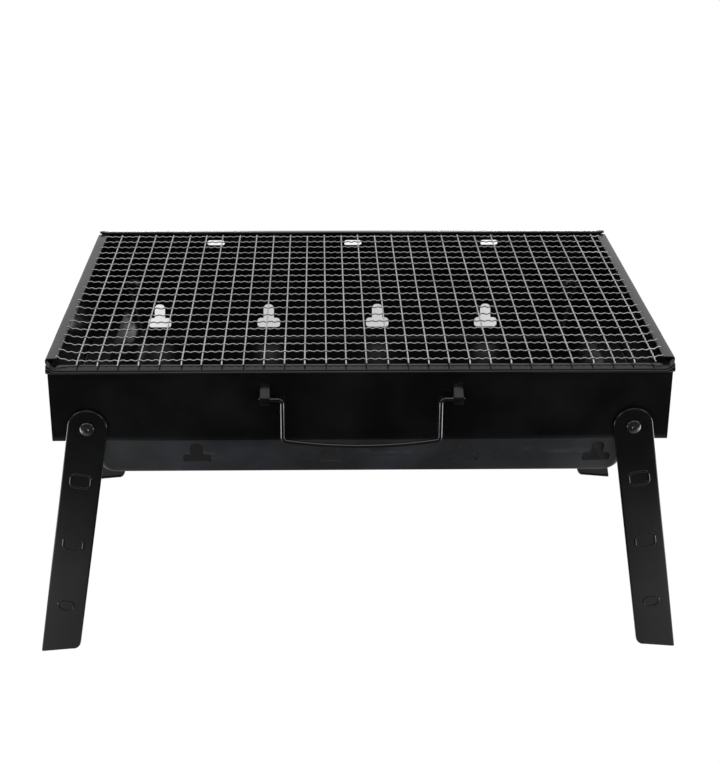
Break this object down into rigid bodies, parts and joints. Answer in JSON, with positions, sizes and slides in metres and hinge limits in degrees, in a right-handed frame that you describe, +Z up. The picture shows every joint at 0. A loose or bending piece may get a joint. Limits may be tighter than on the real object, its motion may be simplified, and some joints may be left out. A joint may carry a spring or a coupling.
{
  "type": "folding camp grill",
  "caption": "Small tabletop charcoal grill: sheet-steel fire box and pan, folding splayed legs, lift-off wire cooking net and a swinging wire handle.",
  "frame": {"origin": "on the ground under the centre of the fire box, with the legs open", "axes": "+X to the right along the length, +Y to the rear, away from the handle, +Z up"},
  "size_m": [0.3826, 0.2555, 0.1908],
  "materials": {
    "box_enamel": "gloss black enamel",
    "pan_enamel": "gloss black enamel",
    "leg_enamel": "gloss black enamel",
    "rivet_black": "satin black",
    "handle_wire": "gloss black wire",
    "net_zinc": "bright zinc plate",
    "washer_zinc": "zinc plate"
  },
  "bodies": {
    "box": {"front_wall": "box_enamel", "rear_wall": "box_enamel", "right_end_wall": "box_enamel", "left_end_wall": "box_enamel", "fire_pan": "pan_enamel", "front_left_leg_rivet": "rivet_black", "front_left_leg_spacer": "rivet_black", "front_left_inner_washer": "washer_zinc", "front_right_leg_rivet": "rivet_black", "front_right_leg_spacer": "rivet_black", "front_right_inner_washer": "washer_zinc", "rear_left_leg_rivet": "rivet_black", "rear_left_leg_spacer": "rivet_black", "rear_left_inner_washer": "washer_zinc", "rear_right_leg_rivet": "rivet_black", "rear_right_leg_spacer": "rivet_black", "rear_right_inner_washer": "washer_zinc"},
    "handle": {"handle_bail": "handle_wire"},
    "net": {"cooking_net": "net_zinc"},
    "front_left_leg": {"front_left_leg": "leg_enamel"},
    "front_right_leg": {"front_right_leg": "leg_enamel"},
    "rear_left_leg": {"rear_left_leg": "leg_enamel"},
    "rear_right_leg": {"rear_right_leg": "leg_enamel"}
  },
  "joints": [
    {"name": "handle_swing", "type": "hinge", "parent": "box", "child": "handle", "pos_m": [0, -0.12625, 0.1683], "axis": [-1, 0, 0], "range_deg": [0, 178]},
    {"name": "net_lift", "type": "slide", "parent": "box", "child": "net", "axis": [0, 0, 1], "range_m": [0, 0.15]},
    {"name": "front_left_leg_fold", "type": "hinge", "parent": "box", "child": "front_left_leg", "pos_m": [-0.154, -0.12275, 0.15], "axis": [0, -0.999, -0.0436], "range_deg": [0, 96.5]},
    {"name": "front_right_leg_fold", "type": "hinge", "parent": "box", "child": "front_right_leg", "pos_m": [0.154, -0.12275, 0.15], "axis": [0, 0.999, 0.0436], "range_deg": [0, 96.5]},
    {"name": "rear_left_leg_fold", "type": "hinge", "parent": "box", "child": "rear_left_leg", "pos_m": [-0.154, 0.12275, 0.15], "axis": [0, -0.999, 0.0436], "range_deg": [0, 96.5]},
    {"name": "rear_right_leg_fold", "type": "hinge", "parent": "box", "child": "rear_right_leg", "pos_m": [0.154, 0.12275, 0.15], "axis": [0, 0.999, -0.0436], "range_deg": [0, 96.5]}
  ]
}
